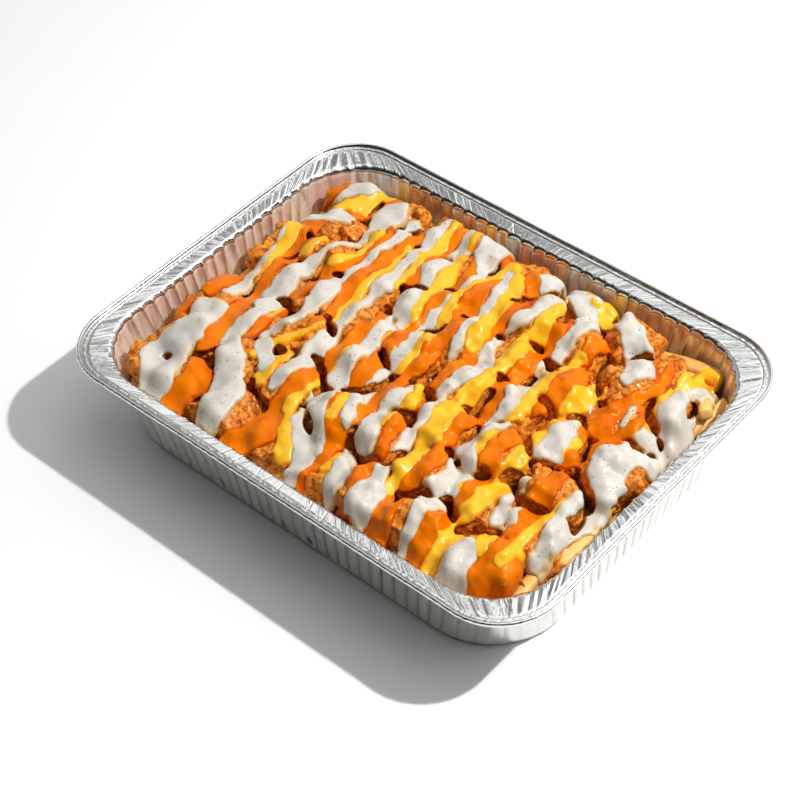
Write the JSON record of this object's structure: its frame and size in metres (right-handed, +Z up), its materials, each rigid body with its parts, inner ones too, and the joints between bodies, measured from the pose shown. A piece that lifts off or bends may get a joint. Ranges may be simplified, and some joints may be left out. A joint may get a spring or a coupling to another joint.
{
  "type": "foil tray meal",
  "caption": "Rounded rectangular foil tray with fluted walls and a crimped rolled rim, filled with fries and glazed chicken bites under drizzled ranch, cheese and hot sauce.",
  "frame": {"origin": "middle of the tray's foot, on the surface it stands on", "axes": "+X along the tray's long side, +Y along its short side, +Z up"},
  "size_m": [0.324, 0.246, 0.0657],
  "materials": {
    "foil": "bright crinkled foil",
    "potato": "fried potato, satin",
    "chicken": "glazed fried chicken with sauces, glossy"
  },
  "bodies": {
    "root": {"tray": "foil", "fries": "potato", "bite_01": "chicken", "bite_02": "chicken", "bite_03": "chicken", "bite_04": "chicken", "bite_05": "chicken", "bite_06": "chicken", "bite_07": "chicken", "bite_08": "chicken", "bite_09": "chicken", "bite_10": "chicken", "bite_11": "chicken", "bite_12": "chicken", "bite_13": "chicken", "bite_14": "chicken", "bite_15": "chicken", "bite_16": "chicken", "bite_17": "chicken", "bite_18": "chicken", "bite_19": "chicken", "bite_20": "chicken", "bite_21": "chicken", "bite_22": "chicken", "bite_23": "chicken", "bite_24": "chicken", "bite_25": "chicken", "bite_26": "chicken", "bite_27": "chicken", "bite_28": "chicken", "bite_29": "chicken", "bite_30": "chicken", "bite_31": "chicken", "bite_32": "chicken", "bite_33": "chicken", "bite_34": "chicken", "bite_35": "chicken", "bite_36": "chicken", "bite_37": "chicken", "bite_38": "chicken", "bite_39": "chicken", "bite_40": "chicken", "bite_41": "chicken", "bite_42": "chicken", "bite_43": "chicken", "bite_44": "chicken", "bite_45": "chicken", "bite_46": "chicken", "bite_47": "chicken", "bite_48": "chicken", "bite_49": "chicken", "bite_50": "chicken", "bite_51": "chicken", "bite_52": "chicken", "bite_53": "chicken", "bite_54": "chicken", "bite_55": "chicken", "bite_56": "chicken"}
  },
  "joints": []
}
